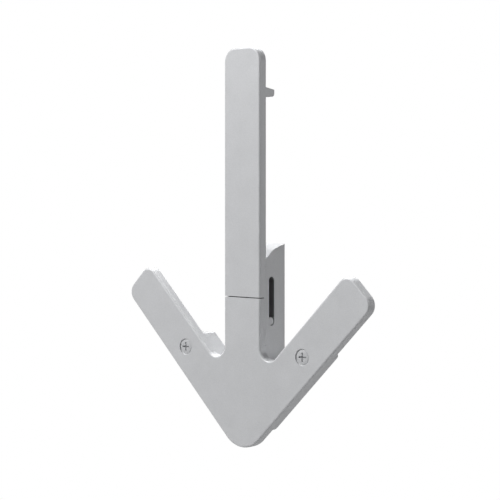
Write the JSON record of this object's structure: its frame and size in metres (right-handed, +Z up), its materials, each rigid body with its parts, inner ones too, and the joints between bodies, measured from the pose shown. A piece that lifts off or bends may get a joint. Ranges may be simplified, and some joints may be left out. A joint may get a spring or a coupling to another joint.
{
  "type": "headphone hook",
  "caption": "Arrow-shaped headphone hook whose sliding upper bar and ramped block clamp a horizontal rail or panel edge.",
  "frame": {"origin": "centre of the soft pad on the back of the bar, on the plane that rests on the rail", "axes": "+Z up along the bar, towards the tooth; +Y from the front of the hook into the rail; +X to the right as seen from the front"},
  "size_m": [0.1566, 0.0197, 0.2004],
  "materials": {
    "silver_paint": "satin",
    "zinc_steel": "satin",
    "spring_steel": "satin",
    "brass": "satin",
    "soft_pad": "matte",
    "carriage_plastic": "matte"
  },
  "bodies": {
    "head": {"front_plate": "silver_paint", "rear_body": "silver_paint", "rear_cover": "silver_paint", "cover_screws": "zinc_steel", "arm_screws": "silver_paint", "threaded_inserts": "brass", "return_springs": "spring_steel"},
    "bar": {"upper_bar": "silver_paint", "bar_pad": "soft_pad", "slide_tongue": "silver_paint", "tongue_screws": "zinc_steel", "slide_carriage": "carriage_plastic", "carriage_screws": "zinc_steel", "guide_pin": "silver_paint"}
  },
  "joints": [
    {"name": "bar_slide", "type": "slide", "parent": "head", "child": "bar", "axis": [0, 0, 1], "range_m": [0, 0.02], "stiffness_N_per_m": 300, "springref_m": -0.01, "deforming": ["return_springs"]}
  ]
}
